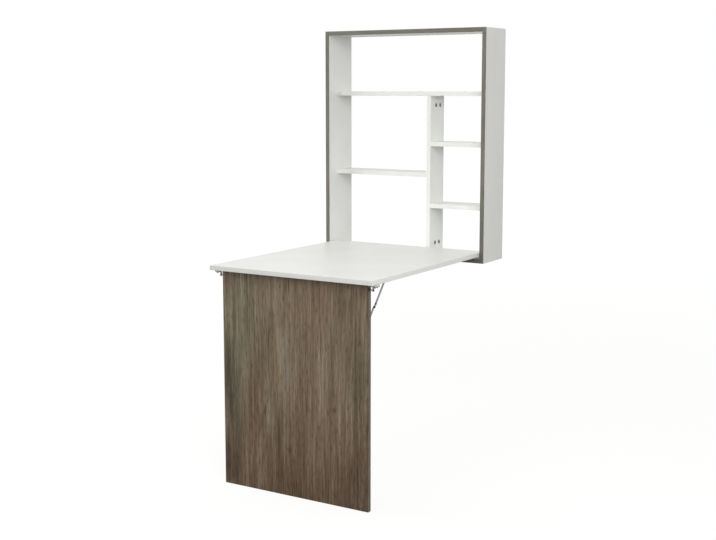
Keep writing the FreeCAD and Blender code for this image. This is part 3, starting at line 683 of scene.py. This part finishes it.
def dress_nodes(materials: dict[str, bpy.types.Material]) -> list[bpy.types.Object]:
    """Give nodes of the frame their materials.

    Args:
        materials: Material of each node, by the node's name.

    Returns:
        The nodes' objects.
    """
    for node, material in materials.items():
        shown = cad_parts[node]
        if not shown.material_slots:
            shown.data.materials.append(material)
        for slot in shown.material_slots:
            slot.material = material
    return [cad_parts[node] for node in materials]


@dataclass(frozen=True)
class Head:
    """Domed heads of rivets or screws, turned from one short outline."""

    name: str
    body: str
    radius: float
    tall: float
    slot: str = "black_oxide_steel"
    sunk: float = 0.1 * MM
    steps: int = 32
    # Shares of the radius and of the height, from the top of the rim to the flat of the crown.
    crown: tuple[tuple[float, float], ...] = (
        (1.0, 0.45), (0.93, 0.75), (0.78, 0.93), (0.5, 1.0))

    def build(self, seats: Sequence[Vector], outward: Vector,
              material: bpy.types.Material) -> bpy.types.Object:
        """Build a head on each seat.

        Args:
            seats: Middle of each head where it meets its seat.
            outward: The way that the heads point.
            material: Material of the heads.

        Returns:
            One object with all the heads.
        """
        across = outward.orthogonal().normalized()
        beside = outward.cross(across)
        turns = [2 * math.pi * step / self.steps for step in range(self.steps)]
        rim = [across * math.cos(turn) + beside * math.sin(turn) for turn in turns]
        outline = [(self.radius, -self.sunk)]
        outline += [(self.radius * wide, self.tall * high) for wide, high in self.crown]
        solid = bmesh.new()
        for seat in seats:
            rings = [[solid.verts.new(seat + outward * high + way * wide) for way in rim]
                     for wide, high in outline]
            solid.faces.new(rings[0][::-1])
            solid.faces.new(rings[-1])
            for low, high in zip(rings, rings[1:]):
                for here in range(self.steps):
                    there = (here + 1) % self.steps
                    solid.faces.new((low[here], low[there], high[there], high[here]))
        return add_piece(self.name, solid, (material,), self.body)


class Unit(ABC):
    """A unit of the desk, with pieces made for it and nodes of the frame that it shows."""

    @abstractmethod
    def build(self, palette: Palette) -> list[bpy.types.Object]:
        """Build the pieces.

        Args:
            palette: The desk's materials.

        Returns:
            The pieces.
        """

    @abstractmethod
    def dress(self, palette: Palette) -> list[bpy.types.Object]:
        """Give the nodes their materials.

        Args:
            palette: The desk's materials.

        Returns:
            The nodes' objects.
        """


@dataclass
class Cabinet(Unit):
    """Shallow open box on the wall, with its shelves, dark front edging and fittings."""

    body: str = "cabinet"
    edging_arris: float = 0.3 * MM
    uprights: tuple[str, ...] = ("left_side_panel", "right_side_panel", "divider")
    levels: tuple[str, ...] = ("top_panel", "bottom_panel", "top_shelf", "left_shelf",
                               "lower_right_shelf", "upper_right_shelf")

    def build(self, palette: Palette) -> list[bpy.types.Object]:
        """Build the boards and the front edging.

        Args:
            palette: The desk's materials.

        Returns:
            The boards and the strips of edging.
        """
        boards = [Board(node, self.body, "white_melamine", thin)
                  for thin, nodes in ((Axis.X, self.uprights), (Axis.Z, self.levels))
                  for node in nodes]
        made = [board.build(palette.face, palette.band, palette.core) for board in boards]
        for side, finish in (("left", palette.walnut), ("right", palette.walnut),
                             ("top", palette.walnut_level), ("bottom", palette.walnut_level)):
            strip = Board(f"{side}_front_edging", self.body, "walnut_laminate", Axis.Y,
                          self.edging_arris)
            made.append(strip.build(finish, finish, palette.core))
        return made

    def dress(self, palette: Palette) -> list[bpy.types.Object]:
        """Give the fittings their materials.

        Args:
            palette: The desk's materials.

        Returns:
            The fittings.
        """
        kinds = ("panel", "shelf", "divider")
        materials = {f"{kind}_cam_locks": palette.zinc for kind in kinds}
        materials |= {f"{kind}_cam_bolts": palette.steel for kind in kinds}
        materials |= dict.fromkeys(("hanger_plates", "hanger_screws"), palette.steel)
        materials |= dict.fromkeys(("magnet_catches", "desk_pivot_bushes"), palette.nylon)
        materials["dowels"] = palette.beech
        return dress_nodes(materials)


@dataclass
class Desktop(Unit):
    """White desktop with the brackets that the leg and the stays turn on."""

    body: str = "desktop"
    arris: float = 1.0 * MM
    # Heads of the frame's own screws, and the pan heads that cover them.
    screw_radius: float = 3.3 * MM
    screw_tall: float = 2.0 * MM
    pan_radius: float = 4.7 * MM
    pan_tall: float = 3.6 * MM

    def build(self, palette: Palette) -> list[bpy.types.Object]:
        """Build the board, and pan heads on the screws of the leg's brackets.

        Args:
            palette: The desk's materials.

        Returns:
            The board and the pan heads.
        """
        board = Board("desktop_panel", self.body, "white_melamine", Axis.Z, self.arris)
        low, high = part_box("leg_bracket_screws")
        seats = [Vector((x, y, low.z + self.screw_tall))
                 for x in (low.x + self.screw_radius, high.x - self.screw_radius)
                 for y in (low.y + self.screw_radius, high.y - self.screw_radius)]
        heads = Head("leg_bracket_pan_heads", self.body, self.pan_radius, self.pan_tall)
        return [board.build(palette.face, palette.band, palette.core),
                heads.build(seats, Vector((0, 0, -1)), palette.black)]

    def dress(self, palette: Palette) -> list[bpy.types.Object]:
        """Give the fittings their materials.

        Args:
            palette: The desk's materials.

        Returns:
            The fittings.
        """
        bright = ("desk_pivot_pins", "left_leg_bracket", "right_leg_bracket",
                  "left_desk_stay_bracket", "right_desk_stay_bracket")
        dark = ("leg_bracket_screws", "desk_stay_screws", "desk_stay_rivets")
        return dress_nodes({
            **dict.fromkeys(bright, palette.steel), **dict.fromkeys(dark, palette.black),
            "leg_pivot_pins": palette.pin, "strike_discs": palette.face,
            "leg_bracket_packings": palette.nylon})


@dataclass
class Leg(Unit):
    """Dark leg panel that hangs under the desktop's front."""

    body: str = "leg"
    arris: float = 0.8 * MM

    def build(self, palette: Palette) -> list[bpy.types.Object]:
        """Build the board.

        Args:
            palette: The desk's materials.

        Returns:
            The board.
        """
        board = Board("leg_panel", self.body, "walnut_laminate", Axis.Y, self.arris)
        return [board.build(palette.walnut_leg, palette.walnut_band, palette.core)]

    def dress(self, palette: Palette) -> list[bpy.types.Object]:
        """Give the fittings their materials.

        Args:
            palette: The desk's materials.

        Returns:
            The fittings.
        """
        bright = ("left_leg_stay_bracket", "right_leg_stay_bracket")
        # The pivot bushes are near black partly as a black oxide finish and partly as painted
        # shade.
        dark = ("leg_pivot_bushes", "leg_stay_screws", "leg_stay_rivets")
        return dress_nodes({
            **dict.fromkeys(bright, palette.steel), **dict.fromkeys(dark, palette.black)})


@dataclass
class FoldingStay(Unit):
    """One folding stay: two links with their halves of the knuckle rivet, and a stop rivet.

    The stop rivet sits in the upper link just above the knuckle, and keeps the stay from
    swinging past straight.
    """

    side: Side
    stop_above: float = 12.5 * MM
    stop_radius: float = 3.0 * MM
    stop_tall: float = 1.2 * MM

    def build(self, palette: Palette) -> list[bpy.types.Object]:
        """Build the stop rivet's head on the outer face of the upper link.

        Args:
            palette: The desk's materials.

        Returns:
            The rivet's head.
        """
        side = self.side.name.lower()
        low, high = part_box(f"{side}_upper_link")
        knuckle = sum(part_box(f"{side}_upper_knuckle"), Vector()) / 2
        along = (low + high) / 2 - knuckle
        along.x = 0
        seat = knuckle + along.normalized() * self.stop_above
        seat.x = high.x if self.side is Side.RIGHT else low.x
        head = Head(f"{side}_stop_rivet", f"{side}_upper_stay", self.stop_radius, self.stop_tall)
        return [head.build([seat], Vector((self.side.value, 0, 0)), palette.black)]

    def dress(self, palette: Palette) -> list[bpy.types.Object]:
        """Give the links and knuckles their materials.

        Args:
            palette: The desk's materials.

        Returns:
            The links and knuckles.
        """
        halves = [f"{self.side.name.lower()}_{end}" for end in ("upper", "lower")]
        return dress_nodes({
            **{f"{half}_link": palette.steel for half in halves},
            **{f"{half}_knuckle": palette.black for half in halves}})


@dataclass(frozen=True)
class Softbox:
    """A square softbox, by its power in watts, its place and the length of its side."""

    name: str
    power: float
    place: tuple[float, float, float]
    wide: float = 2.0

    def hang(self, aim: Vector) -> None:
        """Hang the softbox so that it faces a point.

        Args:
            aim: The point that it faces.
        """
        lamp = bpy.data.lights.new(self.name, "AREA")
        lamp.shape = "SQUARE"
        lamp.size = self.wide
        lamp.energy = self.power
        softbox = bpy.data.objects.new(self.name, lamp)
        softbox.location = self.place
        sight = aim - Vector(self.place)
        softbox.rotation_euler = sight.to_track_quat("-Z", "Y").to_euler()
        bpy.context.scene.collection.objects.link(softbox)


@dataclass
class Studio:
    """Pale floor, soft light and the photograph's camera."""

    # The floor throws little light up, so that it stays dark under the desk. A lift that only
    # shows to the camera and in reflections makes it pale, most where it is far away.
    floor_wide: float = 60.0
    floor_colour: str = "#6b6a68"
    floor_lift: float = 0.87
    far_lift: float = 0.95
    lift_near: float = 1.5
    lift_far: float = 6.0
    # The surround's light from behind and from the front, and where one turns into the other.
    back_light: float = 0.72
    front_light: float = 0.41
    front_until: float = -0.2
    back_from: float = 0.5
    lamps: tuple[Softbox, ...] = (
        Softbox("key_softbox", 82.0, (-3.6, -1.3, 0.5)),
        Softbox("fill_softbox", 70.0, (2.6, -2.8, 0.9)),
        Softbox("top_softbox", 9.0, (-0.5, -1.3, 1.6)))
    aim: tuple[float, float, float] = (0.0, -0.45, -0.25)
    # The camera, solved from the straight edges in the photograph.
    eye: tuple[float, float, float] = (2.14563, -3.98174, 0.20134)
    turn_deg: float = 31.45
    dip_deg: float = 7.71
    focal_px: float = 1185.9
    rise_px: float = -20.0
    sight_end: float = 200.0

    def build(self) -> None:
        """Build the floor, the lights and the camera."""
        self.lay_floor()
        self.light_surround()
        for lamp in self.lamps:
            lamp.hang(Vector(self.aim))
        self.set_camera()

    @staticmethod
    def seen(tree: bpy.types.NodeTree) -> bpy.types.NodeSocket:
        """Tell the rays that look at the background from those that light the object.

        Args:
            tree: Node tree of the floor or the world.

        Returns:
            Socket with 1 for camera, glossy and transmission rays, and 0 for the others.
        """
        path = add_node(tree, "ShaderNodeLightPath").outputs
        sight = add_node(tree, "ShaderNodeMath", {
            0: path["Is Camera Ray"], 1: path["Is Glossy Ray"]}, operation="MAXIMUM").outputs[0]
        return add_node(tree, "ShaderNodeMath", {
            0: sight, 1: path["Is Transmission Ray"]}, operation="MAXIMUM").outputs[0]

    def lay_floor(self) -> None:
        """Lay the floor under the leg; it keeps shadows, and is clear from below."""
        half = self.floor_wide / 2
        level = CAD_BOX[0].z
        mesh = bpy.data.meshes.new("floor")
        mesh.from_pydata([(-half, -half, level), (half, -half, level), (half, half, level),
                          (-half, half, level)], [], [(0, 1, 2, 3)])
        floor = bpy.data.objects.new("floor", mesh)
        bpy.context.scene.collection.objects.link(floor)
        paint = bpy.data.materials.new("pale_floor")
        paint.use_nodes = True
        tree = paint.node_tree
        tree.nodes.clear()
        matt = add_node(tree, "ShaderNodeBsdfDiffuse", {"Color": linear(self.floor_colour)})
        place = add_node(tree, "ShaderNodeTexCoord").outputs["Object"]
        reach = add_node(tree, "ShaderNodeVectorMath", {0: place}, operation="LENGTH")
        share = add_node(tree, "ShaderNodeMapRange", {
            "Value": reach.outputs["Value"], "From Min": self.lift_near,
            "From Max": self.lift_far, "To Min": self.floor_lift, "To Max": self.far_lift})
        lift = add_node(tree, "ShaderNodeMath", {0: self.seen(tree), 1: share.outputs[0]},
                        operation="MULTIPLY")
        glow = add_node(tree, "ShaderNodeEmission", {"Strength": lift.outputs[0]})
        upper = add_node(tree, "ShaderNodeAddShader", {0: matt.outputs[0], 1: glow.outputs[0]})
        under = add_node(tree, "ShaderNodeBsdfTransparent")
        back = add_node(tree, "ShaderNodeNewGeometry").outputs["Backfacing"]
        both = add_node(tree, "ShaderNodeMixShader",
                        {0: back, 1: upper.outputs[0], 2: under.outputs[0]})
        add_node(tree, "ShaderNodeOutputMaterial", {"Surface": both.outputs[0]})
        mesh.materials.append(paint)

    def light_surround(self) -> None:
        """Light the object from all round, most from behind it, and show white there."""
        world = bpy.data.worlds.new("white_surround")
        bpy.context.scene.world = world
        world.use_nodes = True
        tree = world.node_tree
        sky = tree.nodes["Background"]
        sky.inputs["Color"].default_value = (1.0, 1.0, 1.0, 1.0)
        toward = add_node(tree, "ShaderNodeTexCoord").outputs["Generated"]
        apart = add_node(tree, "ShaderNodeSeparateXYZ", {0: toward}).outputs["Y"]
        light = add_node(tree, "ShaderNodeMapRange", {
            "Value": apart, "From Min": self.front_until, "From Max": self.back_from,
            "To Min": self.front_light, "To Max": self.back_light},
                         interpolation_type="SMOOTHSTEP")
        strength = add_node(tree, "ShaderNodeMapRange", {
            "Value": self.seen(tree), "To Min": light.outputs[0], "To Max": 1.0})
        tree.links.new(strength.outputs[0], sky.inputs["Strength"])

    def set_camera(self) -> None:
        """Set the camera where the photograph was taken from."""
        lens = bpy.data.cameras.new("photo_camera")
        lens.sensor_fit = "HORIZONTAL"
        lens.sensor_width = SENSOR_MM
        lens.lens = SENSOR_MM * self.focal_px / PHOTO_WIDE
        lens.shift_y = self.rise_px / PHOTO_WIDE
        lens.clip_end = self.sight_end
        camera = bpy.data.objects.new("photo_camera", lens)
        camera.location = self.eye
        camera.rotation_euler = (math.radians(90 - self.dip_deg), 0, math.radians(self.turn_deg))
        bpy.context.scene.collection.objects.link(camera)
        bpy.context.scene.camera = camera


def main() -> None:
    """Build the desk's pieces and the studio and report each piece."""
    logging.basicConfig(level=logging.INFO, format="%(name)s %(message)s")
    bpy.context.scene.view_settings.view_transform = "Standard"
    palette = Palette()
    units: list[Unit] = [Cabinet(), Desktop(), Leg()]
    units += [FoldingStay(side) for side in Side]
    for unit in units:
        for piece in unit.build(palette) + unit.dress(palette):
            LOG.info("%s: %s, %d faces", piece.name, piece.active_material.name,
                     len(piece.data.polygons))
    Studio().build()


if __name__ == "__main__":
    main()
